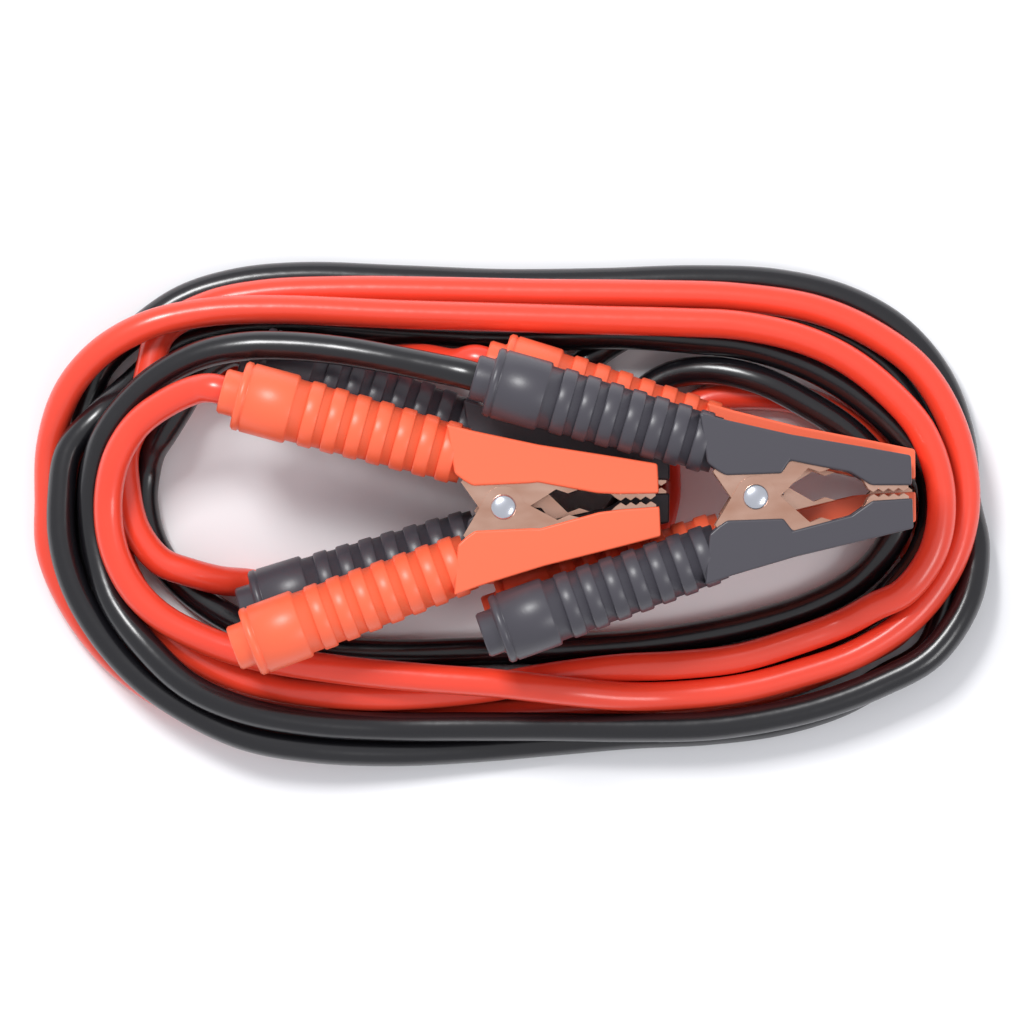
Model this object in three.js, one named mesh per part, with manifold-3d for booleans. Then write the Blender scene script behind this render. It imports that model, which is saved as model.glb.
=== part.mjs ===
import * as THREE from 'three';
import { mergeVertices } from 'three/addons/utils/BufferGeometryUtils.js';
import Module from 'manifold-3d';

// A set of car jumper cables: two sheathed cables and four spring clamps, coiled on a level floor.
// Millimetres, +Z up, origin on the floor under the middle of the coil.

// Sizes shared by the whole set
const gap = 0.35;
const cableDiameter = 10;
const cableSides = 8;

// Sizes of a clamp, measured from its rivet with the jaws pointing along +X
const sheet = 1.2;
const jawLength = 51.5;
const outerCheekHalfWidth = 8.4;
const innerCheekHalfWidth = outerCheekHalfWidth - sheet - gap;
const earRadius = 7.1;
const rivetRadius = 2.6;
const rivetHeadRadius = 4.3;
const rivetHeadHeight = 1.6;
const coverWall = 1.5;
const coverClearance = 0.3;
const coverHalfWidth = outerCheekHalfWidth + coverClearance + coverWall;
const coverLength = 52.6;
const gripStart = [-12.5, 17.9];
const gripEnd = [-88, 42];
const gripStartRadius = 10.6;
const gripEndRadius = 12.1;
const plainGripLength = 17;
const ribPitch = 8;
const ribWidth = 5;
const grooveDepth = 1.2;
const collarLength = 5.8;
const collarRadius = 7.6;
const boreRadius = cableDiameter / 2 + 1.1;
const boreDepth = 12;
const cableInset = 4;
const cableLead = 3;
const tangLength = 30;
const tangHalfWidth = 3;
const gripSides = 10;
const springWire = 1.4;
const springRadius = 4.2;
const springLegLength = 9;

// Where each clamp lies before the set is centred, its turn in degrees about its rivet, and its finish
const clamps = [
  { name: 'red_top', pivot: [-1, 2.7, 49.2], turn: 2.6, bite: 5.2, colour: 'red' },
  { name: 'black_top', pivot: [83.9, 6.1, 56.6], turn: 1.9, bite: 9.2, colour: 'black' },
  { name: 'black_low', pivot: [3, 10.2, 23], turn: -0.6, bite: 9.2, colour: 'black' },
  { name: 'red_low', pivot: [86.45, 9.5, 30.8], turn: 0.6, bite: 5.2, colour: 'red' },
];

// Brings the middle of the coil's box to the origin
const centring = [-1.86, -0.32, 0];

const finishes = {
  red: new THREE.MeshStandardMaterial({ color: 0xf4583f, roughness: 0.5, metalness: 0 }),
  black: new THREE.MeshStandardMaterial({ color: 0x55535a, roughness: 0.55, metalness: 0 }),
  redSheath: new THREE.MeshStandardMaterial({ color: 0xe8402e, roughness: 0.35, metalness: 0 }),
  blackSheath: new THREE.MeshStandardMaterial({ color: 0x1c1a1f, roughness: 0.35, metalness: 0 }),
  copper: new THREE.MeshStandardMaterial({ color: 0xc98d6b, roughness: 0.35, metalness: 1 }),
  zinc: new THREE.MeshStandardMaterial({ color: 0xc9ccd2, roughness: 0.3, metalness: 1 }),
};

// Joining and cutting closed meshes
const wasm = await Module();
wasm.setup();

function solidOf(geometry) {
  const bare = geometry.clone();
  bare.deleteAttribute('normal');
  bare.deleteAttribute('uv');
  const merged = mergeVertices(bare, 1e-4);
  return new wasm.Manifold(new wasm.Mesh({
    numProp: 3,
    vertProperties: new Float32Array(merged.attributes.position.array),
    triVerts: new Uint32Array(merged.index.array),
  }));
}

function geometryOf(solid) {
  const mesh = solid.getMesh();
  const geometry = new THREE.BufferGeometry();
  geometry.setAttribute('position', new THREE.BufferAttribute(new Float32Array(mesh.vertProperties), 3));
  geometry.setIndex(new THREE.BufferAttribute(new Uint32Array(mesh.triVerts), 1));
  geometry.computeVertexNormals();
  return geometry;
}

// A flat outline in the plane of the clamp, extruded between two heights
function slab(points, low, high) {
  const shape = new THREE.Shape(points.map(([x, y]) => new THREE.Vector2(x, y)));
  const geometry = new THREE.ExtrudeGeometry(shape, { depth: high - low, bevelEnabled: false, steps: 1 });
  geometry.translate(0, 0, low);
  return solidOf(geometry);
}

function disc(radius, low, high, sides = 20) {
  const geometry = new THREE.CylinderGeometry(radius, radius, high - low, sides);
  geometry.rotateX(Math.PI / 2);
  geometry.translate(0, 0, (low + high) / 2);
  return solidOf(geometry);
}

// The line of the handle, outwards from the jaws; side is 1 for the upper half and -1 for the lower
function gripLine(side) {
  const start = new THREE.Vector3(gripStart[0], gripStart[1] * side, 0);
  const end = new THREE.Vector3(gripEnd[0], gripEnd[1] * side, 0);
  const direction = end.clone().sub(start).normalize();
  return { start, end, direction, length: end.distanceTo(start) };
}

// Turned geometry about the handle's line; heights run outwards from the handle's jaw end
function turnedAlongGrip(profile, side, sides) {
  const line = gripLine(side);
  const geometry = new THREE.LatheGeometry(profile.map(([r, h]) => new THREE.Vector2(r, h)), sides);
  geometry.applyQuaternion(new THREE.Quaternion().setFromUnitVectors(new THREE.Vector3(0, 1, 0), line.direction));
  geometry.translate(line.start.x, line.start.y, 0);
  return solidOf(geometry);
}

// The stamped cheek: pivot lobe with its back and front corners, then the arm with its teeth
const backCorner = [-14, 9];
const frontCorner = [18, 7.4];

const noseHeight = 9.5;
const frontTeeth = 4;
const frontTeethStart = 38;
const toothHeight = 1.1;
const postTeeth = 2;
const biteEnd = 34;

function cheekOutline(side, bite) {
  const points = [];
  const lobeSteps = 8;
  const from = THREE.MathUtils.degToRad(200);
  const to = THREE.MathUtils.degToRad(350);
  points.push(backCorner);
  for (let i = 0; i <= lobeSteps; i += 1) {
    const angle = from + ((to - from) * i) / lobeSteps;
    points.push([earRadius * Math.cos(angle), earRadius * Math.sin(angle)]);
  }
  points.push([frontCorner[0], bite]);
  const scallop = (biteEnd - frontCorner[0]) / postTeeth;
  for (let i = 0; i < postTeeth; i += 1) {
    const x = frontCorner[0] + scallop * i;
    points.push([x + scallop * 0.5, bite - toothHeight * 1.4]);
    points.push([x + scallop, bite - 0.3]);
  }
  const pitch = (jawLength - frontTeethStart) / frontTeeth;
  for (let i = 0; i < frontTeeth; i += 1) {
    const x = frontTeethStart + pitch * i;
    points.push([x, gap + toothHeight]);
    points.push([x + pitch * 0.5, gap]);
  }
  points.push([jawLength, gap + toothHeight]);
  points.push([jawLength, noseHeight]);
  points.push([32, 12.6]);
  points.push([12, 17]);
  points.push([-6, 19]);
  return points.map(([x, y]) => [x, y * side]);
}

// The back of the channel, the strip that joins the two cheeks, with the tang that fills the handle
function channelBack(side, halfWidth) {
  const strip = [
    [jawLength, noseHeight - sheet],
    [32, 12.6 - sheet],
    [12, 17 - sheet],
    [-6, 19 - sheet],
    [-6, 19],
    [12, 17],
    [32, 12.6],
    [jawLength, noseHeight],
  ].map(([x, y]) => [x, y * side]);
  return slab(strip, -halfWidth, halfWidth);
}

function tangOutline(side, extra) {
  const line = gripLine(side);
  const across = new THREE.Vector3(-line.direction.y, line.direction.x, 0);
  const inner = line.start.clone().addScaledVector(line.direction, -8);
  const outer = line.start.clone().addScaledVector(line.direction, tangLength + extra);
  const half = tangHalfWidth + extra;
  return [
    [inner.x - across.x * half, inner.y - across.y * half],
    [outer.x - across.x * half, outer.y - across.y * half],
    [outer.x + across.x * half, outer.y + across.y * half],
    [inner.x + across.x * half, inner.y + across.y * half],
  ];
}

function jaw(side, bite) {
  const halfWidth = side > 0 ? innerCheekHalfWidth : outerCheekHalfWidth;
  const outline = cheekOutline(side, bite);
  let solid = slab(outline, halfWidth - sheet, halfWidth);
  solid = solid.add(slab(outline, -halfWidth, -halfWidth + sheet));
  solid = solid.add(channelBack(side, halfWidth));
  const tangs = slab(tangOutline(side, 0), halfWidth - sheet, halfWidth)
    .add(slab(tangOutline(side, 0), -halfWidth, -halfWidth + sheet));
  solid = solid.add(tangs);
  solid = solid.subtract(disc(rivetRadius + gap, -20, 20));
  return geometryOf(solid);
}

// The moulded cover of a jaw: a flat-sided sleeve open towards the other jaw
function coverOutline(side, bite) {
  const lip = bite + 1.2;
  return [
    [-13, 9.5], [-10, 7.6], [9, 7.6], [12, lip + 1.4], [18, lip], [32, lip - 3.2], [39, 2.6], [coverLength, 2.2],
    [coverLength, 12.3], [39, 15.2], [13, 20.5], [-9, 26.2], [-18, 29], [-16, 12],
  ].map(([x, y]) => [x, y * side]);
}

function cavityOutline(side, bite) {
  return [
    [-22, 6], [-14, 4], [jawLength + gap, -2], [jawLength + gap, noseHeight + gap],
    [32, 12.6 + gap], [12, 17 + gap], [-6, 19 + gap], [-12, 20], [-22, 16],
  ].map(([x, y]) => [x, y * side]);
}

function gripProfile(length) {
  const radiusAt = (h) => gripStartRadius + ((gripEndRadius - gripStartRadius) * h) / length;
  const profile = [[0, 0], [radiusAt(0), 0]];
  const ribbed = length - plainGripLength;
  const ribs = Math.floor(ribbed / ribPitch);
  for (let i = 0; i < ribs; i += 1) {
    const from = ribPitch * i + 1;
    const to = from + ribPitch - ribWidth;
    profile.push([radiusAt(from), from]);
    profile.push([radiusAt(from) - grooveDepth, (from + to) / 2]);
    profile.push([radiusAt(to), to]);
  }
  profile.push([gripEndRadius, length]);
  profile.push([collarRadius, length]);
  profile.push([collarRadius, length + collarLength]);
  profile.push([0, length + collarLength]);
  return profile;
}

function grip(side, bite) {
  const halfWidth = side > 0 ? innerCheekHalfWidth : outerCheekHalfWidth;
  const inside = halfWidth + coverClearance;
  const line = gripLine(side);
  let solid = turnedAlongGrip(gripProfile(line.length), side, gripSides);
  solid = solid.add(slab(coverOutline(side, bite), -coverHalfWidth, coverHalfWidth));
  solid = solid.subtract(slab(cavityOutline(side, bite), -inside, inside));
  solid = solid.subtract(slab(tangOutline(side, gap), -inside, inside));
  const bore = [
    [0, line.length + collarLength - boreDepth],
    [boreRadius, line.length + collarLength - boreDepth],
    [boreRadius, line.length + collarLength + 1],
    [0, line.length + collarLength + 1],
  ];
  solid = solid.subtract(turnedAlongGrip(bore, side, 10));
  return geometryOf(solid);
}

// The rivet, with a low head on each face
function rivet() {
  const reach = outerCheekHalfWidth + gap;
  const head = reach + rivetHeadHeight;
  const profile = [
    [0, -head], [rivetHeadRadius * 0.75, -head], [rivetHeadRadius, -reach - 0.5], [rivetHeadRadius, -reach],
    [rivetRadius, -reach], [rivetRadius, reach], [rivetHeadRadius, reach], [rivetHeadRadius, reach + 0.5],
    [rivetHeadRadius * 0.75, head], [0, head],
  ];
  const geometry = new THREE.LatheGeometry(profile.map(([r, h]) => new THREE.Vector2(r, h)), 12);
  geometry.rotateX(Math.PI / 2);
  return geometryOf(solidOf(geometry));
}

// A torsion spring: turns round the rivet inside the channels, a straight leg along each half
function spring() {
  const points = [];
  const turns = 2.5;
  const stepsPerTurn = 10;
  const pitch = springWire + 0.3;
  const halfLength = (turns * pitch) / 2;
  const legAngle = THREE.MathUtils.degToRad(150);
  const leg = (angle, along, height) => {
    const base = new THREE.Vector3(Math.cos(angle), Math.sin(angle), 0).multiplyScalar(springRadius);
    const tangent = new THREE.Vector3(-Math.sin(angle), Math.cos(angle), 0).multiplyScalar(along);
    return base.add(tangent).setZ(height);
  };
  points.push(leg(legAngle - 1.4, -springLegLength, -halfLength));
  for (let i = 0; i <= turns * stepsPerTurn; i += 1) {
    const angle = legAngle - 1.4 + (i / stepsPerTurn) * 2 * Math.PI;
    points.push(leg(angle, 0, -halfLength + (pitch * i) / stepsPerTurn));
  }
  points.push(leg(legAngle - 1.4 + turns * 2 * Math.PI, springLegLength, halfLength));
  const curve = new THREE.CatmullRomCurve3(points, false, 'centripetal');
  return tube(curve, springWire / 2, 5, 30);
}

function tube(curve, radius, sides, steps) {
  const section = new THREE.Shape();
  for (let i = 0; i < sides; i += 1) {
    const angle = (2 * Math.PI * (i + 0.5)) / sides;
    const x = radius * Math.cos(angle);
    const y = radius * Math.sin(angle);
    if (i === 0) section.moveTo(x, y);
    else section.lineTo(x, y);
  }
  section.closePath();
  const geometry = new THREE.ExtrudeGeometry(section, { steps, extrudePath: curve, bevelEnabled: false });
  return geometryOf(solidOf(geometry));
}

// Where a cable passes a collar: a point on the handle's line, measured outwards from the handle's end
function collarPoint(name, side, outward) {
  const clamp = clamps.find((entry) => entry.name === name);
  const line = gripLine(side);
  const point = line.end.clone().addScaledVector(line.direction, outward);
  point.applyAxisAngle(new THREE.Vector3(0, 0, 1), THREE.MathUtils.degToRad(clamp.turn));
  return point.add(new THREE.Vector3(...clamp.pivot));
}

// The cables' routes, from the top clamp's collar round the coil to the low clamp's collar
const redRoute = [
  [-104.6, 42.7, 46], [-114.8, 38.6, 41], [-125.8, 30.7, 36], [-132.9, 19.5, 33], [-136, 5.1, 29],
  [-134.6, -10.2, 27.5], [-128.5, -23.9, 26.5], [-118.9, -34.1, 25.8], [-104.6, -42, 25.5], [-87.5, -47.8, 25.5],
  [-56.8, -52.9, 25.5], [-29.5, -55.6, 25.5], [-2.2, -57.7, 25.5], [21.7, -60.4, 24.5], [38.7, -62.1, 19.5],
  [55.8, -62.1, 15.5], [79.7, -59.7, 15.3], [100.2, -54.6, 15.3], [121.3, -47.1, 15.3], [140.4, -33.8, 15.3],
  [153.1, -15.4, 15.4], [157.7, 5.1, 15.3], [153.8, 29, 15.3], [142.8, 48.8, 15.3], [127.5, 61.1, 15.3],
  [107, 70.3, 15.3], [79.7, 74.7, 15.3], [45.6, 75.8, 15.3], [11.4, 76.1, 15.3], [-22.7, 76.8, 15.3],
  [-56.8, 77.1, 15.3], [-84.1, 75.8, 15.3], [-102.9, 71.7, 15.3], [-118.3, 62.5, 15.3], [-122.7, 48.8, 15.8],
  [-125.4, 35.2, 16.3], [-130.9, 22.2, 15.3], [-130.5, 8.5, 15.3], [-127.1, -5.1, 15.3], [-118.9, -15.7, 15.3],
  [-108.7, -19.8, 14.5], [-98.5, -22.5, 10.5], [-88.9, -23.5, 5.5], [-72.2, -26.3, 5], [-56.8, -27, 5],
  [-36.3, -22.2, 5], [-15.9, -18.8, 5], [8, -19.5, 5], [31.9, -19.5, 5], [49, -10.2, 5],
  [54.8, 5.1, 5], [55.1, 20.5, 5], [58.5, 31.1, 5], [68.1, 39.2, 5], [86.5, 41.3, 5],
  [104.3, 38.6, 5], [119.3, 30.7, 5], [130.2, 18.8, 5], [136.7, 5.1, 5], [140.1, -10.2, 5],
  [141, -25.6, 5], [136, -38.6, 5], [118.9, -48.8, 5], [103.6, -55.6, 5], [88.2, -60.4, 5],
  [66, -64.2, 5], [45.6, -65.5, 5], [14.8, -67.6, 5], [-12.5, -69.6, 5], [-39.8, -71.3, 5],
  [-67.1, -71.3, 5], [-91, -68.9, 5], [-112.8, -64.5, 5], [-132.9, -51.5, 5], [-148.3, -32.8, 5],
  [-157.2, -12.6, 5], [-157.8, 5.1, 5], [-157.2, 23.5, 6], [-151, 42, 14], [-139.4, 55.6, 21],
  [-123, 64.8, 25.5], [-102.9, 69.3, 25.5], [-80.7, 70.3, 25.5], [-36.3, 68.6, 25.5], [-2.2, 67.6, 25.5],
  [31.9, 66.6, 25.5], [59.2, 65.9, 25.5], [79.7, 64.8, 25.5], [100.2, 60.4, 25.5], [115.5, 53.6, 25.5],
  [129.2, 43.3, 25.5], [141.8, 29, 25.5], [148, 11.9, 25.5], [148.3, -3.4, 25.5], [144.5, -15.4, 25.3],
  [136, -26.3, 24.2], [126.1, -31.4, 20.3], [115.5, -37.2, 15.5], [100.2, -43, 15.3], [79.7, -49.1, 15.3],
  [59.2, -51.5, 15.3], [38.7, -52.6, 15.3], [14.8, -55.6, 15.3], [-9, -59.7, 15.3], [-36.3, -62.1, 15.3],
  [-56.8, -62.1, 15.3], [-77.3, -60.1, 15.3], [-95.1, -54.9, 15.3], [-111.4, -45.4, 15.3], [-123, -32.8, 14.5],
  [-131.6, -18.8, 9], [-135.8, -5.1, 5.5], [-136, 10.2, 5], [-132.6, 23.9, 5], [-123.4, 35.2, 5],
  [-109.7, 43.3, 5], [-92.7, 48.1, 5], [-73.9, 51.5, 5], [-55.1, 52.9, 5.5], [-39.8, 53.6, 11],
  [-27.8, 53.6, 19], [-17.6, 51.9, 27],
];

const blackRoute = [
  [-27.8, 50.5, 52], [-39.8, 52.9, 47.5], [-55.1, 55.6, 43.5], [-72.2, 57.3, 41.7], [-89.2, 57.3, 40],
  [-104.6, 54.3, 36.5], [-118.3, 47.4, 32], [-129.5, 37.5, 28], [-137.7, 25.6, 25], [-141.8, 11.9, 19],
  [-142.2, -1.7, 15.8], [-139.8, -15.4, 16.5], [-134.6, -30, 19.5], [-123.7, -44.4, 23.5], [-109.4, -57.7, 25],
  [-91, -66.2, 24], [-67.1, -71, 20], [-39.8, -72.7, 15.6], [-12.5, -72.7, 15.3], [14.8, -72.7, 15.3],
  [42.2, -73, 15.3], [69.5, -72.4, 15.3], [93.3, -68.9, 15.3], [110.4, -64.5, 15.3], [127.5, -58, 15.3],
  [145.9, -47.8, 15.3], [158.2, -29.7, 12.9], [161.6, -11.3, 7], [158.5, 5.1, 5], [156.8, 25.6, 5],
  [149.7, 46.1, 5], [136, 63.1, 5], [117.2, 74.1, 5], [93.3, 79.9, 5], [66, 81.2, 5],
  [31.9, 80.2, 5], [-2.2, 79.9, 5], [-36.3, 81.2, 5], [-70.5, 82.3, 5], [-92.7, 80.2, 5],
  [-111.4, 74.4, 5], [-126.8, 63.8, 5], [-140.4, 50.5, 5], [-145.2, 33.8, 5], [-146.6, 17.1, 5],
  [-146.9, 1.7, 5], [-144.9, -14.3, 5], [-137, -28.3, 5], [-124.1, -42.7, 5], [-108, -52.9, 5],
  [-87.5, -57.7, 5], [-63.7, -60.1, 5], [-39.8, -60.4, 5], [-12.5, -59.4, 5], [14.8, -57, 5],
  [45.6, -54.9, 5], [72.9, -51.9, 5], [93.3, -47.4, 5], [112.1, -40.6, 5], [127.5, -31.1, 8],
  [135, -23.5, 13.4], [142.2, -13.7, 15.9], [146.4, 0, 15.3], [144.9, 13.7, 15.3], [136, 27, 15.3],
  [121.3, 40.6, 15.3], [103.6, 51.2, 15.3], [83.1, 58, 15.3], [62.6, 60.4, 15.3], [40.4, 61.8, 15.5],
  [20, 61.4, 13], [-2.2, 61.1, 7], [-36.3, 62.8, 5], [-70.5, 65.2, 5], [-96.1, 63.8, 5],
  [-114.8, 57.7, 5], [-127.1, 46.8, 5.5], [-139.4, 34.5, 15.3], [-150, 22.2, 15.3], [-152.7, 6.8, 15.3],
  [-152.4, -9.2, 15.3], [-148, -24.9, 15.3], [-138.7, -41, 15.3], [-125.1, -56, 15.3], [-108, -67.6, 15.3],
  [-89.2, -76.1, 15.3], [-67.1, -80.2, 13], [-39.8, -81.6, 8.5], [-12.5, -80.5, 5.5], [14.8, -78.2, 5],
  [42.2, -75.8, 5], [69.5, -74.4, 5], [93.3, -71.3, 5], [113.8, -65.2, 5], [130.2, -56.3, 5],
  [145.2, -46.8, 5], [151.7, -29.7, 5], [151.2, -13, 5], [148.3, 3.4, 5], [146.9, 22.2, 5],
  [140.4, 38.6, 5], [128.5, 52.9, 5], [111.1, 63.1, 5], [89.9, 69.3, 5], [69.5, 70.3, 5],
  [52.4, 67.2, 5], [36.7, 59.7, 5], [25.1, 51.2, 5], [13.5, 41.3, 5], [4.3, 29.7, 5],
  [-0.2, 16, 5], [3.2, 2.4, 5], [14.2, -5.8, 5], [28.5, -6.5, 5], [39.4, 1.7, 5],
  [43.5, 14.7, 5], [42.8, 29, 5], [46.2, 40.6, 5.2], [55.1, 47.4, 7], [69.5, 49.8, 11.5],
  [86.5, 46.4, 15.3], [101.9, 38.9, 15.3], [118.3, 28, 15.3], [129.2, 15.7, 15.3], [136, 3.1, 15.3],
  [131.9, -9.6, 13], [121.3, -22.2, 6.5], [105.3, -31.1, 5], [86.5, -37.2, 5], [66, -41.6, 5],
  [45.6, -44.4, 5], [18.3, -46.1, 5], [-9, -47.1, 5], [-39.8, -47.8, 5], [-63.7, -46.1, 5],
  [-84.8, -40.6, 5], [-101.9, -31.7, 5], [-114.2, -21.2, 5], [-122, -8.9, 5], [-125.1, 5.1, 5],
  [-124.1, 15.4, 5.5], [-122, 22.2, 9], [-117.6, 28.7, 13.5], [-112.8, 36.2, 16], [-108, 44, 18],
  [-102.6, 50.9, 20.5],
];

function cable(route, from, to) {
  const along = [collarLength - cableInset, collarLength + cableLead];
  const first = along.map((outward) => collarPoint(from, 1, outward));
  const last = along.map((outward) => collarPoint(to, 1, outward));
  const middle = route.map(([x, y, z]) => new THREE.Vector3(x, y, z));
  const points = [...first, ...middle, ...last.reverse()];
  const curve = new THREE.CatmullRomCurve3(points, false, 'centripetal');
  curve.getPointAt = (u) => curve.getPoint(u);
  curve.getTangentAt = (u) => curve.getTangent(u);
  return tube(curve, cableDiameter / 2, cableSides, points.length - 1);
}

// The set, put together
const set = new THREE.Group();

function add(parent, name, geometry, material) {
  const mesh = new THREE.Mesh(geometry, material);
  mesh.name = name;
  parent.add(mesh);
}

for (const { name, pivot, turn, bite, colour } of clamps) {
  const clamp = new THREE.Group();
  add(clamp, `${name}_upper_jaw`, jaw(1, bite), finishes.copper);
  add(clamp, `${name}_lower_jaw`, jaw(-1, bite), finishes.copper);
  add(clamp, `${name}_upper_grip`, grip(1, bite), finishes[colour]);
  add(clamp, `${name}_lower_grip`, grip(-1, bite), finishes[colour]);
  add(clamp, `${name}_rivet`, rivet(), finishes.zinc);
  add(clamp, `${name}_spring`, spring(), finishes.zinc);
  clamp.position.set(...pivot);
  clamp.rotation.z = THREE.MathUtils.degToRad(turn);
  set.add(clamp);
}
add(set, 'red_cable', cable(redRoute, 'red_top', 'red_low'), finishes.redSheath);
add(set, 'black_cable', cable(blackRoute, 'black_top', 'black_low'), finishes.blackSheath);
set.position.set(...centring);

export default set;
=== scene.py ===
import math

import bmesh
import bpy
from mathutils import Matrix, Vector


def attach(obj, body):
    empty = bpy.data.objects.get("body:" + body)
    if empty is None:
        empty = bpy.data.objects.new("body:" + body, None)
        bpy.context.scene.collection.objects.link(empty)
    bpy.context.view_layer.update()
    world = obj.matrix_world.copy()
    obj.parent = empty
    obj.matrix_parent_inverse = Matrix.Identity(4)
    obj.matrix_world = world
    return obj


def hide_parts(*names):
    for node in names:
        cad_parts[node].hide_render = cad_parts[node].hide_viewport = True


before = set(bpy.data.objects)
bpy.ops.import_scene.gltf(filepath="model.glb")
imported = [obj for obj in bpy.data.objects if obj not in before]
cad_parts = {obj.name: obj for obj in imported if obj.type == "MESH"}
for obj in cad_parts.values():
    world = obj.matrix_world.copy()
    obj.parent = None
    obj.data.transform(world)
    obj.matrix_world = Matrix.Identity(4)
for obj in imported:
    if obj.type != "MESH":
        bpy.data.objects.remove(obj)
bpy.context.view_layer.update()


# The studio: a pale level floor, a long lens looking straight down, and a wide soft lamp.
# The set lies on the floor as it is stored, so the floor is at the height of its lowest cable.
def linear(code):
    """An sRGB hex colour as the linear colour that a shader takes."""
    parts = [int(code[i:i + 2], 16) / 255 for i in (1, 3, 5)]
    return [p / 12.92 if p <= 0.04045 else ((p + 0.055) / 1.055) ** 2.4 for p in parts] + [1.0]


def add_node(tree, kind, settings=None, values=None, links=()):
    """One node with its settings and socket values; links are (input, node, output)."""
    node = tree.nodes.new(kind)
    for name, value in (settings or {}).items():
        setattr(node, name, value)
    for name, value in (values or {}).items():
        node.inputs[name].default_value = value
    for name, source, output in links:
        tree.links.new(source.outputs[output], node.inputs[name])
    return node


def new_material(name, values):
    """An empty material with its shader, and the shader's own numbers."""
    material = bpy.data.materials.new(name)
    material.use_nodes = True
    tree = material.node_tree
    tree.nodes.clear()
    shader = add_node(tree, "ShaderNodeBsdfPrincipled", values=values)
    output = add_node(tree, "ShaderNodeOutputMaterial", links=[("Surface", shader, "BSDF")])
    output.location = (300, 0)
    return material, tree, shader


floor_finish, _, _ = new_material(
    "pale_paper", {"Base Color": linear("#f4f4f6"), "Roughness": 0.85, "Specular IOR Level": 0.2}
)
bpy.ops.mesh.primitive_plane_add(size=6, location=(0, 0, -0.0002))
floor = bpy.context.object
floor.name = "floor"
floor.data.materials.append(floor_finish)

camera_height = 2.5
lens_width = 36.0
photo_width = 0.3495
photo_level = 0.030
camera_data = bpy.data.cameras.new("camera")
camera_data.lens = lens_width * (camera_height - photo_level) / photo_width
camera_data.sensor_width = lens_width
camera_data.clip_end = 20
camera = bpy.data.objects.new("camera", camera_data)
camera.location = (0.0, 0.0007, camera_height)
bpy.context.scene.collection.objects.link(camera)
bpy.context.scene.camera = camera
bpy.context.scene.view_settings.view_transform = "Standard"

world = bpy.data.worlds.new("studio")
world.use_nodes = True
world.node_tree.nodes["Background"].inputs["Color"].default_value = linear("#f2f3f8")
world.node_tree.nodes["Background"].inputs["Strength"].default_value = 0.72
bpy.context.scene.world = world


def soft_lamp(name, place, size, watts):
    """A square area lamp aimed at the middle of the set."""
    data = bpy.data.lights.new(name, "AREA")
    data.size = size
    data.energy = watts
    lamp = bpy.data.objects.new(name, data)
    lamp.location = place
    lamp.rotation_euler = (-Vector(place)).to_track_quat("-Z", "Y").to_euler()
    bpy.context.scene.collection.objects.link(lamp)


soft_lamp("key_lamp", (-0.45, 0.75, 1.3), 0.4, 16)
soft_lamp("fill_lamp", (0.9, -0.5, 1.3), 0.5, 5)


# The clamps: where each lies, as the part's source places it, with the shared middle of the set.
# Lengths are metres, measured from a clamp's rivet with its jaws pointing along +X.
centring = Vector((-0.00186, -0.00032, 0))
clamps = {
    "red_top": (-0.001, 0.0027, 0.0492, 2.6, 0.0052),
    "black_top": (0.0839, 0.0061, 0.0566, 1.9, 0.0092),
    "black_low": (0.003, 0.0102, 0.023, -0.6, 0.0092),
    "red_low": (0.08645, 0.0095, 0.0308, 0.6, 0.0052),
}


def clamp_matrix(name):
    """From the clamp's own frame to its place in the set."""
    x, y, z, turn, _ = clamps[name]
    place = Vector((x, y, z)) + centring
    return Matrix.Translation(place) @ Matrix.Rotation(math.radians(turn), 4, "Z")


def half_body(name, side):
    """The body that a clamp's half rides on: the cable's half stays with the set."""
    return "set" if side > 0 else f"{name}_lower_half"


# The handle's line: it starts beside the pivot and runs outwards to the cable's collar.
# Both halves share it, mirrored, and the cable leaves the upper half along it.
grip_start = Vector((-0.0125, 0.0179, 0))
grip_end = Vector((-0.088, 0.042, 0))
collar_length = 0.0058


def grip_point(side, outward):
    """A point on the handle's line, outward metres past the handle's end."""
    start = Vector((grip_start.x, grip_start.y * side, 0))
    end = Vector((grip_end.x, grip_end.y * side, 0))
    return end + (end - start).normalized() * outward


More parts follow.
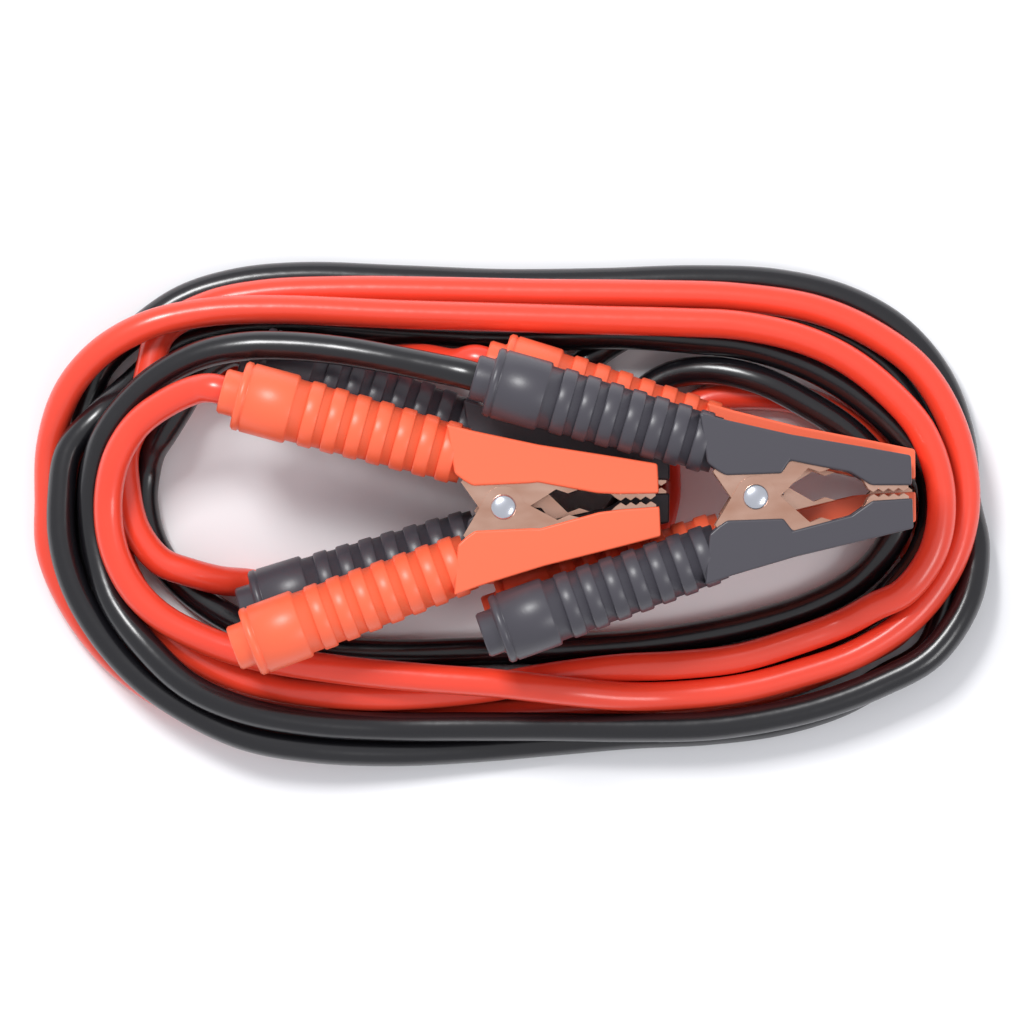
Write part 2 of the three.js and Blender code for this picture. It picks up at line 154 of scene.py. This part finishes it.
# The cables: fine-stranded copper in a soft PVC sheath, 10 mm thick, extruded in one length.
# Each leaves a top clamp's collar, lies in the coil, folds, and ends in the low clamp's collar.
cable_diameter = 0.010
cable_inset = 0.004
cable_lead = 0.003
red_route = [
    (-104.6, 42.7, 46), (-114.8, 38.6, 41), (-125.8, 30.7, 36), (-132.9, 19.5, 33), (-136, 5.1, 29),
    (-134.6, -10.2, 27.5), (-128.5, -23.9, 26.5), (-118.9, -34.1, 25.8), (-104.6, -42, 25.5),
    (-87.5, -47.8, 25.5), (-56.8, -52.9, 25.5), (-29.5, -55.6, 25.5), (-2.2, -57.7, 25.5),
    (21.7, -60.4, 24.5), (38.7, -62.1, 19.5), (55.8, -62.1, 15.5), (79.7, -59.7, 15.3),
    (100.2, -54.6, 15.3), (121.3, -47.1, 15.3), (140.4, -33.8, 15.3), (153.1, -15.4, 15.4),
    (157.7, 5.1, 15.3), (153.8, 29, 15.3), (142.8, 48.8, 15.3), (127.5, 61.1, 15.3), (107, 70.3, 15.3),
    (79.7, 74.7, 15.3), (45.6, 75.8, 15.3), (11.4, 76.1, 15.3), (-22.7, 76.8, 15.3),
    (-56.8, 77.1, 15.3), (-84.1, 75.8, 15.3), (-102.9, 71.7, 15.3), (-118.3, 62.5, 15.3),
    (-122.7, 48.8, 15.8), (-125.4, 35.2, 16.3), (-130.9, 22.2, 15.3), (-130.5, 8.5, 15.3),
    (-127.1, -5.1, 15.3), (-118.9, -15.7, 15.3), (-108.7, -19.8, 14.5), (-98.5, -22.5, 10.5),
    (-88.9, -23.5, 5.5), (-72.2, -26.3, 5), (-56.8, -27, 5), (-36.3, -22.2, 5), (-15.9, -18.8, 5),
    (8, -19.5, 5), (31.9, -19.5, 5), (49, -10.2, 5), (54.8, 5.1, 5), (55.1, 20.5, 5), (58.5, 31.1, 5),
    (68.1, 39.2, 5), (86.5, 41.3, 5), (104.3, 38.6, 5), (119.3, 30.7, 5), (130.2, 18.8, 5),
    (136.7, 5.1, 5), (140.1, -10.2, 5), (141, -25.6, 5), (136, -38.6, 5), (118.9, -48.8, 5),
    (103.6, -55.6, 5), (88.2, -60.4, 5), (66, -64.2, 5), (45.6, -65.5, 5), (14.8, -67.6, 5),
    (-12.5, -69.6, 5), (-39.8, -71.3, 5), (-67.1, -71.3, 5), (-91, -68.9, 5), (-112.8, -64.5, 5),
    (-132.9, -51.5, 5), (-148.3, -32.8, 5), (-157.2, -12.6, 5), (-157.8, 5.1, 5), (-157.2, 23.5, 6),
    (-151, 42, 14), (-139.4, 55.6, 21), (-123, 64.8, 25.5), (-102.9, 69.3, 25.5), (-80.7, 70.3, 25.5),
    (-36.3, 68.6, 25.5), (-2.2, 67.6, 25.5), (31.9, 66.6, 25.5), (59.2, 65.9, 25.5), (79.7, 64.8, 25.5),
    (100.2, 60.4, 25.5), (115.5, 53.6, 25.5), (129.2, 43.3, 25.5), (141.8, 29, 25.5), (148, 11.9, 25.5),
    (148.3, -3.4, 25.5), (144.5, -15.4, 25.3), (136, -26.3, 24.2), (126.1, -31.4, 20.3),
    (115.5, -37.2, 15.5), (100.2, -43, 15.3), (79.7, -49.1, 15.3), (59.2, -51.5, 15.3),
    (38.7, -52.6, 15.3), (14.8, -55.6, 15.3), (-9, -59.7, 15.3), (-36.3, -62.1, 15.3),
    (-56.8, -62.1, 15.3), (-77.3, -60.1, 15.3), (-95.1, -54.9, 15.3), (-111.4, -45.4, 15.3),
    (-123, -32.8, 14.5), (-131.6, -18.8, 9), (-135.8, -5.1, 5.5), (-136, 10.2, 5), (-132.6, 23.9, 5),
    (-123.4, 35.2, 5), (-109.7, 43.3, 5), (-92.7, 48.1, 5), (-73.9, 51.5, 5), (-55.1, 52.9, 5.5),
    (-39.8, 53.6, 11), (-27.8, 53.6, 19), (-17.6, 51.9, 27),
]
black_route = [
    (-27.8, 50.5, 52), (-39.8, 52.9, 47.5), (-55.1, 55.6, 43.5), (-72.2, 57.3, 41.7), (-89.2, 57.3, 40),
    (-104.6, 54.3, 36.5), (-118.3, 47.4, 32), (-129.5, 37.5, 28), (-137.7, 25.6, 25),
    (-141.8, 11.9, 19), (-142.2, -1.7, 15.8), (-139.8, -15.4, 16.5), (-134.6, -30, 19.5),
    (-123.7, -44.4, 23.5), (-109.4, -57.7, 25), (-91, -66.2, 24), (-67.1, -71, 20),
    (-39.8, -72.7, 15.6), (-12.5, -72.7, 15.3), (14.8, -72.7, 15.3), (42.2, -73, 15.3),
    (69.5, -72.4, 15.3), (93.3, -68.9, 15.3), (110.4, -64.5, 15.3), (127.5, -58, 15.3),
    (145.9, -47.8, 15.3), (158.2, -29.7, 12.9), (161.6, -11.3, 7), (158.5, 5.1, 5), (156.8, 25.6, 5),
    (149.7, 46.1, 5), (136, 63.1, 5), (117.2, 74.1, 5), (93.3, 79.9, 5), (66, 81.2, 5), (31.9, 80.2, 5),
    (-2.2, 79.9, 5), (-36.3, 81.2, 5), (-70.5, 82.3, 5), (-92.7, 80.2, 5), (-111.4, 74.4, 5),
    (-126.8, 63.8, 5), (-140.4, 50.5, 5), (-145.2, 33.8, 5), (-146.6, 17.1, 5), (-146.9, 1.7, 5),
    (-144.9, -14.3, 5), (-137, -28.3, 5), (-124.1, -42.7, 5), (-108, -52.9, 5), (-87.5, -57.7, 5),
    (-63.7, -60.1, 5), (-39.8, -60.4, 5), (-12.5, -59.4, 5), (14.8, -57, 5), (45.6, -54.9, 5),
    (72.9, -51.9, 5), (93.3, -47.4, 5), (112.1, -40.6, 5), (127.5, -31.1, 8), (135, -23.5, 13.4),
    (142.2, -13.7, 15.9), (146.4, 0, 15.3), (144.9, 13.7, 15.3), (136, 27, 15.3), (121.3, 40.6, 15.3),
    (103.6, 51.2, 15.3), (83.1, 58, 15.3), (62.6, 60.4, 15.3), (40.4, 61.8, 15.5), (20, 61.4, 13),
    (-2.2, 61.1, 7), (-36.3, 62.8, 5), (-70.5, 65.2, 5), (-96.1, 63.8, 5), (-114.8, 57.7, 5),
    (-127.1, 46.8, 5.5), (-139.4, 34.5, 15.3), (-150, 22.2, 15.3), (-152.7, 6.8, 15.3),
    (-152.4, -9.2, 15.3), (-148, -24.9, 15.3), (-138.7, -41, 15.3), (-125.1, -56, 15.3),
    (-108, -67.6, 15.3), (-89.2, -76.1, 15.3), (-67.1, -80.2, 13), (-39.8, -81.6, 8.5),
    (-12.5, -80.5, 5.5), (14.8, -78.2, 5), (42.2, -75.8, 5), (69.5, -74.4, 5), (93.3, -71.3, 5),
    (113.8, -65.2, 5), (130.2, -56.3, 5), (145.2, -46.8, 5), (151.7, -29.7, 5), (151.2, -13, 5),
    (148.3, 3.4, 5), (146.9, 22.2, 5), (140.4, 38.6, 5), (128.5, 52.9, 5), (111.1, 63.1, 5),
    (89.9, 69.3, 5), (69.5, 70.3, 5), (52.4, 67.2, 5), (36.7, 59.7, 5), (25.1, 51.2, 5),
    (13.5, 41.3, 5), (4.3, 29.7, 5), (-0.2, 16, 5), (3.2, 2.4, 5), (14.2, -5.8, 5), (28.5, -6.5, 5),
    (39.4, 1.7, 5), (43.5, 14.7, 5), (42.8, 29, 5), (46.2, 40.6, 5.2), (55.1, 47.4, 7),
    (69.5, 49.8, 11.5), (86.5, 46.4, 15.3), (101.9, 38.9, 15.3), (118.3, 28, 15.3), (129.2, 15.7, 15.3),
    (136, 3.1, 15.3), (131.9, -9.6, 13), (121.3, -22.2, 6.5), (105.3, -31.1, 5), (86.5, -37.2, 5),
    (66, -41.6, 5), (45.6, -44.4, 5), (18.3, -46.1, 5), (-9, -47.1, 5), (-39.8, -47.8, 5),
    (-63.7, -46.1, 5), (-84.8, -40.6, 5), (-101.9, -31.7, 5), (-114.2, -21.2, 5), (-122, -8.9, 5),
    (-125.1, 5.1, 5), (-124.1, 15.4, 5.5), (-122, 22.2, 9), (-117.6, 28.7, 13.5), (-112.8, 36.2, 16),
    (-108, 44, 18), (-102.6, 50.9, 20.5),
]


def cable_points(route, start, finish):
    """The route's own points, led in and out along the two collars."""
    along = (collar_length - cable_inset, collar_length + cable_lead)
    first = [clamp_matrix(start) @ grip_point(1, a) for a in along]
    last = [clamp_matrix(finish) @ grip_point(1, a) for a in along]
    middle = [Vector((x / 1000, y / 1000, z / 1000)) + centring for x, y, z in route]
    return first + middle + last[::-1]


def smooth_line(points, per_span):
    """A centripetal Catmull-Rom line through the points."""
    ends = [points[0] * 2 - points[1]] + points + [points[-1] * 2 - points[-2]]
    line = []
    for p0, p1, p2, p3 in zip(ends, ends[1:], ends[2:], ends[3:]):
        t1 = (p1 - p0).length ** 0.5
        t2 = t1 + (p2 - p1).length ** 0.5
        t3 = t2 + (p3 - p2).length ** 0.5
        for k in range(per_span):
            t = t1 + (t2 - t1) * k / per_span
            a1 = p0 * ((t1 - t) / t1) + p1 * (t / t1)
            a2 = p1 * ((t2 - t) / (t2 - t1)) + p2 * ((t - t1) / (t2 - t1))
            a3 = p2 * ((t3 - t) / (t3 - t2)) + p3 * ((t - t2) / (t3 - t2))
            b1 = a1 * ((t2 - t) / t2) + a2 * (t / t2)
            b2 = a2 * ((t3 - t) / (t3 - t1)) + a3 * ((t - t1) / (t3 - t1))
            line.append(b1 * ((t2 - t) / (t2 - t1)) + b2 * ((t - t1) / (t2 - t1)))
    line.append(points[-1])
    for place in line:
        place.z = max(place.z, cable_diameter / 2)
    return line


def sheath_finish(name, colour, rough):
    """Semi-gloss PVC: a sharp highlight over a surface that ripples a little where strands press it."""
    material, tree, shader = new_material(
        name, {"Base Color": linear(colour), "Roughness": rough, "IOR": 1.53,
               "Coat Weight": 0.25, "Coat Roughness": 0.18}
    )
    place = add_node(tree, "ShaderNodeTexCoord")
    ripple = add_node(
        tree, "ShaderNodeTexNoise", values={"Scale": 130.0, "Detail": 2.0, "Roughness": 0.5},
        links=[("Vector", place, "Object")]
    )
    bump = add_node(
        tree, "ShaderNodeBump", values={"Strength": 0.22, "Distance": 0.0006},
        links=[("Height", ripple, "Fac")]
    )
    tree.links.new(bump.outputs["Normal"], shader.inputs["Normal"])
    return material


for name, route, start, finish, colour, rough in (
    ("red_cable", red_route, "red_top", "red_low", "#f0452e", 0.3),
    ("black_cable", black_route, "black_top", "black_low", "#121115", 0.27),
):
    line = smooth_line(cable_points(route, start, finish), 8)
    data = bpy.data.curves.new(f"{name}_sheath", "CURVE")
    data.dimensions = "3D"
    data.bevel_depth = cable_diameter / 2
    data.bevel_resolution = 6
    data.use_fill_caps = True
    spline = data.splines.new("POLY")
    spline.points.add(len(line) - 1)
    for point, place in zip(spline.points, line):
        point.co = (*place, 1)
    spline.use_smooth = True
    sheath = bpy.data.objects.new(f"{name}_sheath", data)
    bpy.context.scene.collection.objects.link(sheath)
    data.materials.append(sheath_finish(f"{name[:-6]}_pvc_sheath", colour, rough))
    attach(sheath, "set")
    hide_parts(name)


# The grips: one soft PVC moulding on each half, a ribbed handle that ends in a collar for the cable,
# and a flat-sided cover over the jaw. A thin parting line runs along it where the mould closed.
grip_start_radius = 0.0103
grip_end_radius = 0.0118
plain_length = 0.017
rib_pitch = 0.008
rib_width = 0.005
groove_depth = 0.0009
ring_depth = 0.0005
handle_sides = 36
collar_radius = 0.0076
bore_radius = 0.0061
bore_depth = 0.012
cover_half_width = 0.0102
cover_length = 0.0526
cover_wall = 0.0015
parting_height = 0.00012


def handle_profile(length):
    """(radius, height) pairs from the jaw end outwards: the core under the ribs, then the plain end."""
    ribs_end = rib_pitch * (rib_count(length) + 0.5)
    profile = [(0, 0), (grip_start_radius - groove_depth, 0)]
    profile += [
        (grip_end_radius - groove_depth - 0.0003, ribs_end),
        (grip_end_radius - 0.0003, ribs_end + 0.0004),
        (grip_end_radius, ribs_end + 0.001),
    ]
    # A shallow ring is cut round the handle just short of its end.
    profile += [
        (grip_end_radius, length - 0.0034),
        (grip_end_radius - ring_depth, length - 0.0031),
        (grip_end_radius - ring_depth, length - 0.0027),
        (grip_end_radius, length - 0.0024),
    ]
    profile += [(grip_end_radius, length - 0.0008),
                (grip_end_radius - 0.0008, length), (collar_radius + 0.0006, length),
                (collar_radius, length + 0.0006), (collar_radius, length + collar_length - 0.0008),
                (collar_radius - 0.0006, length + collar_length),
                (bore_radius, length + collar_length), (bore_radius, length + collar_length - bore_depth),
                (0, length + collar_length - bore_depth)]
    return profile


def rib_count(length):
    """How many ribs fit on the handle before its plain end."""
    return int((length - plain_length) // rib_pitch)


def turned(profile, sides, ridge=0.0):
    """A closed turned mesh about +Z, with a raised parting line on two opposite sides."""
    mesh = bmesh.new()
    rings = []
    for r, h in profile:
        if r == 0:
            rings.append([mesh.verts.new((0, 0, h))])
            continue
        ring = []
        for i in range(sides):
            turn = 2 * math.pi * i / sides
            extra = ridge if i % (sides // 2) == 0 else 0
            ring.append(mesh.verts.new(((r + extra) * math.cos(turn), (r + extra) * math.sin(turn), h)))
        rings.append(ring)
    for a, b in zip(rings, rings[1:]):
        for i in range(sides):
            j = (i + 1) % sides
            corners = [a[i % len(a)], a[j % len(a)], b[j % len(b)], b[i % len(b)]]
            mesh.faces.new(list(dict.fromkeys(corners)))
    bmesh.ops.recalc_face_normals(mesh, faces=mesh.faces)
    return mesh


rib_tree = bpy.data.node_groups.new("handle_ribs", "GeometryNodeTree")
rib_tree.interface.new_socket("Rib", in_out="INPUT", socket_type="NodeSocketGeometry")
rib_sockets = {
    name: rib_tree.interface.new_socket(name, in_out="INPUT", socket_type=kind).identifier
    for name, kind in (("Count", "NodeSocketInt"), ("Pitch", "NodeSocketFloat"),
                       ("Growth", "NodeSocketFloat"), ("Finish", "NodeSocketMaterial"))
}
rib_tree.interface.new_socket("Ribs", in_out="OUTPUT", socket_type="NodeSocketGeometry")
rib_in = add_node(rib_tree, "NodeGroupInput")
rib_step = add_node(rib_tree, "ShaderNodeCombineXYZ", links=[("Z", rib_in, "Pitch")])
rib_row = add_node(
    rib_tree, "GeometryNodeMeshLine", {"mode": "OFFSET"},
    links=[("Count", rib_in, "Count"), ("Offset", rib_step, "Vector")]
)
rib_number = add_node(rib_tree, "GeometryNodeInputIndex")
rib_widening = add_node(rib_tree, "ShaderNodeMath", {"operation": "MULTIPLY_ADD"})
rib_tree.links.new(rib_number.outputs["Index"], rib_widening.inputs[0])
rib_tree.links.new(rib_in.outputs["Growth"], rib_widening.inputs[1])
rib_widening.inputs[2].default_value = 1.0
rib_scale = add_node(
    rib_tree, "ShaderNodeCombineXYZ", values={"Z": 1.0},
    links=[("X", rib_widening, "Value"), ("Y", rib_widening, "Value")]
)
rib_copies = add_node(
    rib_tree, "GeometryNodeInstanceOnPoints",
    links=[("Points", rib_row, "Mesh"), ("Instance", rib_in, "Rib"), ("Scale", rib_scale, "Vector")]
)
rib_real = add_node(
    rib_tree, "GeometryNodeRealizeInstances", links=[("Geometry", rib_copies, "Instances")]
)
rib_paint = add_node(
    rib_tree, "GeometryNodeSetMaterial",
    links=[("Geometry", rib_real, "Geometry"), ("Material", rib_in, "Finish")]
)
add_node(rib_tree, "NodeGroupOutput", links=[("Ribs", rib_paint, "Geometry")])


def ribs_mesh(length, finish):
    """The handle's ribs as one mesh, along +Z from the handle's jaw end."""
    middle = rib_pitch - rib_width / 2
    thick = rib_width / 2
    edge = [(0.0010, 0.0001), (0.0003, -0.0001), (0, -0.0006)]
    band = [(0, middle - thick)]
    band += [(grip_start_radius - inset, middle - thick - past) for inset, past in edge]
    band += [(grip_start_radius - inset, middle + thick + past) for inset, past in reversed(edge)]
    band += [(0, middle + thick)]
    rib = turned(band, handle_sides, parting_height)
    for face in rib.faces:
        face.smooth = True
    data = bpy.data.meshes.new("rib")
    rib.to_mesh(data)
    rib.free()
    piece = bpy.data.objects.new("ribs", data)
    bpy.context.scene.collection.objects.link(piece)
    change = piece.modifiers.new("ribs", "NODES")
    change.node_group = rib_tree
    count = rib_count(length)
    change[rib_sockets["Count"]] = count
    change[rib_sockets["Pitch"]] = rib_pitch
    change[rib_sockets["Growth"]] = (grip_end_radius / grip_start_radius - 1) / (length / rib_pitch)
    change[rib_sockets["Finish"]] = finish
    made_plain(piece)
    mesh = piece.data
    bpy.data.objects.remove(piece)
    return mesh


def slab_object(name, outline, half_height):
    """A flat outline extruded to both sides of the clamp's middle plane."""
    mesh = bmesh.new()
    low = [mesh.verts.new((x, y, -half_height)) for x, y in outline]
    high = [mesh.verts.new((x, y, half_height)) for x, y in outline]
    mesh.faces.new(low[::-1])
    mesh.faces.new(high)
    for i in range(len(outline)):
        j = (i + 1) % len(outline)
        mesh.faces.new([low[i], low[j], high[j], high[i]])
    bmesh.ops.recalc_face_normals(mesh, faces=mesh.faces)
    data = bpy.data.meshes.new(name)
    mesh.to_mesh(data)
    mesh.free()
    piece = bpy.data.objects.new(name, data)
    bpy.context.scene.collection.objects.link(piece)
    return piece


def made_plain(piece):
    """The object with its modifiers worked into its mesh."""
    view = bpy.context.evaluated_depsgraph_get()
    plain = bpy.data.meshes.new_from_object(piece.evaluated_get(view))
    piece.modifiers.clear()
    piece.data = plain
    return piece


def cut(piece, tool):
    """Takes the tool's shape out of the piece, and removes the tool."""
    change = piece.modifiers.new("cut", "BOOLEAN")
    change.operation = "DIFFERENCE"
    change.object = tool
    change.solver = "EXACT"
    made_plain(piece)
    bpy.data.objects.remove(tool)


def rounded(piece, width, segments=2, limit=32):
    """Rounds the piece's sharp edges and shades it smooth between them."""
    edge = piece.modifiers.new("edge", "BEVEL")
    edge.width = width
    edge.segments = segments
    edge.limit_method = "ANGLE"
    edge.angle_limit = math.radians(limit)
    edge.use_clamp_overlap = True
    made_plain(piece)
    piece.data.polygons.foreach_set("use_smooth", [True] * len(piece.data.polygons))
    weigh = piece.modifiers.new("weigh", "WEIGHTED_NORMAL")
    weigh.keep_sharp = True
    made_plain(piece)


def grip_finish(name, colour, rough):
    """Moulded PVC, satin: a broad soft highlight, and a fine grain left by the mould."""
    material, tree, shader = new_material(
        name, {"Base Color": linear(colour), "Roughness": rough, "IOR": 1.5}
    )
    place = add_node(tree, "ShaderNodeTexCoord")
    grain = add_node(
        tree, "ShaderNodeTexNoise", values={"Scale": 900.0, "Detail": 3.0},
        links=[("Vector", place, "Object")]
    )
    bump = add_node(
        tree, "ShaderNodeBump", values={"Strength": 0.12, "Distance": 0.0002},
        links=[("Height", grain, "Fac")]
    )
    tree.links.new(bump.outputs["Normal"], shader.inputs["Normal"])
    return material


grip_finishes = {
    "red": grip_finish("red_pvc_moulding", "#f86a46", 0.38),
    "black": grip_finish("black_pvc_moulding", "#45434a", 0.36),
}


def cover_outline(side, bite):
    """The cover seen from its flat side; its lip follows the jaw's bite."""
    lip = bite + 0.0012
    points = [(-0.013, 0.0095), (-0.010, 0.0076), (0.009, 0.0076), (0.012, lip + 0.0014), (0.018, lip),
              (0.032, lip - 0.0032), (0.039, 0.0026), (cover_length, 0.0022), (cover_length, 0.0123),
              (0.039, 0.0152), (0.013, 0.0205), (-0.009, 0.0262), (-0.018, 0.029), (-0.016, 0.012)]
    return [(x, y * side) for x, y in points]


def cavity_outline(side):
    """The room inside the cover for the jaw's channel."""
    points = [(-0.022, 0.006), (-0.014, 0.004), (0.0519, -0.002), (0.0519, 0.0098), (0.032, 0.013),
              (0.012, 0.0174), (-0.006, 0.0194), (-0.012, 0.020), (-0.022, 0.016)]
    return [(x, y * side) for x, y in points]


for name, (_, _, _, _, bite) in clamps.items():
    colour = name.split("_")[0]
    for side, half in ((1, "upper"), (-1, "lower")):
        start = Vector((grip_start.x, grip_start.y * side, 0))
        axis = grip_point(side, 0) - start
        cheeks = 0.00685 if side > 0 else 0.0084
        cover = slab_object(f"{name}_{half}_moulding", cover_outline(side, bite), cover_half_width)
        inside = min(cheeks + 0.00035, cover_half_width - cover_wall)
        cut(cover, slab_object("cavity", cavity_outline(side), inside))
        rounded(cover, 0.0009, 3, 20)
        handle = turned(handle_profile(axis.length), handle_sides, parting_height)
        handle.from_mesh(ribs_mesh(axis.length, grip_finishes[colour]))
        for face in handle.faces:
            face.material_index = 0
        handle.transform(Matrix.Translation(start) @ axis.to_track_quat("Z", "Y").to_matrix().to_4x4())
        handle.faces.ensure_lookup_table()
        for face in handle.faces:
            face.smooth = True
        handle.from_mesh(cover.data)
        handle.to_mesh(cover.data)
        handle.free()
        cover.data.transform(clamp_matrix(name))
        cover.data.materials.clear()
        cover.data.materials.append(grip_finishes[colour])
        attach(cover, half_body(name, side))
        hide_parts(f"{name}_{half}_grip")


# The jaws: stamped and folded steel channels, copper plated, so they are rosy with bright worn edges
# and go dark inside. Each keeps its solid's shape, with the stamping's small edge rounds added.
copper_finish, copper_tree, copper_shader = new_material(
    "copper_plated_steel", {"Metallic": 1.0, "Roughness": 0.2}
)
copper_place = add_node(copper_tree, "ShaderNodeTexCoord")
copper_grain = add_node(copper_tree, "ShaderNodeMapping", links=[("Vector", copper_place, "Object")])
copper_grain.inputs["Scale"].default_value = (70, 160, 70)
copper_brush = add_node(
    copper_tree, "ShaderNodeTexNoise", values={"Scale": 1.0, "Detail": 2.0, "Roughness": 0.4},
    links=[("Vector", copper_grain, "Vector")]
)
copper_tone = add_node(copper_tree, "ShaderNodeValToRGB", links=[("Fac", copper_brush, "Fac")])
copper_tone.color_ramp.elements[0].color = linear("#d9a68e")
copper_tone.color_ramp.elements[0].position = 0.3
copper_tone.color_ramp.elements[1].color = linear("#efc3ad")
copper_tone.color_ramp.elements[1].position = 0.7
copper_tree.links.new(copper_tone.outputs["Color"], copper_shader.inputs["Base Color"])
copper_bump = add_node(
    copper_tree, "ShaderNodeBump", values={"Strength": 0.08, "Distance": 0.0002},
    links=[("Height", copper_brush, "Fac")]
)
copper_tree.links.new(copper_bump.outputs["Normal"], copper_shader.inputs["Normal"])

for name in clamps:
    for side, half in ((1, "upper"), (-1, "lower")):
        node = f"{name}_{half}_jaw"
        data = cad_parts[node].data.copy()
        mesh = bmesh.new()
        mesh.from_mesh(data)
        bmesh.ops.remove_doubles(mesh, verts=mesh.verts, dist=0.00001)
        bmesh.ops.dissolve_limit(mesh, angle_limit=math.radians(1), verts=mesh.verts, edges=mesh.edges)
        mesh.to_mesh(data)
        mesh.free()
        plate = bpy.data.objects.new(f"{node}_plate", data)
        bpy.context.scene.collection.objects.link(plate)
        rounded(plate, 0.0002, 2, 35)
        plate.data.materials.clear()
        plate.data.materials.append(copper_finish)
        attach(plate, half_body(name, side))
        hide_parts(node)


# The rivets: bright zinc-plated steel, pushed through both jaws and spun over to a low dome.
# One to a clamp; the heads show on its two flat sides.
# Zinc plate gives a cold, mirror-like face with a slightly soft highlight.
zinc_finish, _, _ = new_material(
    "bright_zinc_plate", {"Base Color": linear("#d9dce4"), "Metallic": 1.0, "Roughness": 0.22}
)
rivet_reach = 0.00875
rivet_head = 0.0016
rivet_radius = 0.0026
rivet_head_radius = 0.0043
rivet_rim = 0.0002
rivet_sides = 28
for name in clamps:
    dome = [
        (rivet_head_radius * math.cos(a), rivet_reach + rivet_rim + (rivet_head - rivet_rim) * math.sin(a))
        for a in (0, 0.35, 0.7, 1.0, 1.25, math.pi / 2)
    ]
    dome[-1] = (0, rivet_reach + rivet_head)
    upper = [(rivet_radius, rivet_reach), (rivet_head_radius, rivet_reach)] + dome
    profile = [(r, -h) for r, h in upper[::-1]] + upper
    mesh = turned(profile, rivet_sides)
    for face in mesh.faces:
        face.smooth = True
    mesh.transform(clamp_matrix(name))
    data = bpy.data.meshes.new(f"{name}_rivet_pin")
    mesh.to_mesh(data)
    mesh.free()
    data.materials.append(zinc_finish)
    pin = bpy.data.objects.new(f"{name}_rivet_pin", data)
    bpy.context.scene.collection.objects.link(pin)
    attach(pin, "set")
    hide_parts(f"{name}_rivet")


# The springs: 1.4 mm spring steel wire, wound cold round each rivet inside the channels,
# with a straight leg behind each jaw. The wire follows its line by nodes.
spring_wire = 0.0014
spring_radius = 0.0042
spring_leg = 0.009
spring_turns = 2.5
wire_tree = bpy.data.node_groups.new("wound_wire", "GeometryNodeTree")
wire_tree.interface.new_socket("Line", in_out="INPUT", socket_type="NodeSocketGeometry")
wire_input = wire_tree.interface.new_socket("Wire Radius", in_out="INPUT", socket_type="NodeSocketFloat")
wire_tree.interface.new_socket("Wire", in_out="OUTPUT", socket_type="NodeSocketGeometry")
wire_in = add_node(wire_tree, "NodeGroupInput")
wire_section = add_node(
    wire_tree, "GeometryNodeCurvePrimitiveCircle", values={"Resolution": 14},
    links=[("Radius", wire_in, "Wire Radius")]
)
wire_line = add_node(wire_tree, "GeometryNodeMeshToCurve", links=[("Mesh", wire_in, "Line")])
wire_tube = add_node(
    wire_tree, "GeometryNodeCurveToMesh", values={"Fill Caps": True},
    links=[("Curve", wire_line, "Curve"), ("Profile Curve", wire_section, "Curve")]
)
wire_smooth = add_node(
    wire_tree, "GeometryNodeSetShadeSmooth", links=[("Geometry", wire_tube, "Mesh")]
)
wire_real = add_node(
    wire_tree, "GeometryNodeRealizeInstances", links=[("Geometry", wire_smooth, "Geometry")]
)
wire_paint = add_node(
    wire_tree, "GeometryNodeSetMaterial", values={"Material": zinc_finish},
    links=[("Geometry", wire_real, "Geometry")]
)
add_node(wire_tree, "NodeGroupOutput", links=[("Wire", wire_paint, "Geometry")])


def spring_line():
    """The wire's line: a leg, the turns round the rivet, and the other leg."""
    pitch = spring_wire + 0.0003
    rise = spring_turns * pitch / 2
    begin = math.radians(150) - 1.4
    steps = 24

    def place(turn, along, height):
        out = Vector((math.cos(turn), math.sin(turn), 0)) * spring_radius
        return out + Vector((-math.sin(turn), math.cos(turn), 0)) * along + Vector((0, 0, height))

    line = [place(begin, -spring_leg, -rise)]
    for i in range(int(spring_turns * steps) + 1):
        line.append(place(begin + i / steps * 2 * math.pi, 0, -rise + pitch * i / steps))
    line.append(place(begin + spring_turns * 2 * math.pi, spring_leg, rise))
    return line


for name in clamps:
    line = [clamp_matrix(name) @ p for p in spring_line()]
    data = bpy.data.meshes.new(f"{name}_spring_wire")
    data.from_pydata(line, [(i, i + 1) for i in range(len(line) - 1)], [])
    wire = bpy.data.objects.new(f"{name}_spring_wire", data)
    bpy.context.scene.collection.objects.link(wire)
    wind = wire.modifiers.new("wind", "NODES")
    wind.node_group = wire_tree
    wind[wire_input.identifier] = spring_wire / 2
    made_plain(wire)
    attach(wire, "set")
    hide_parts(f"{name}_spring")
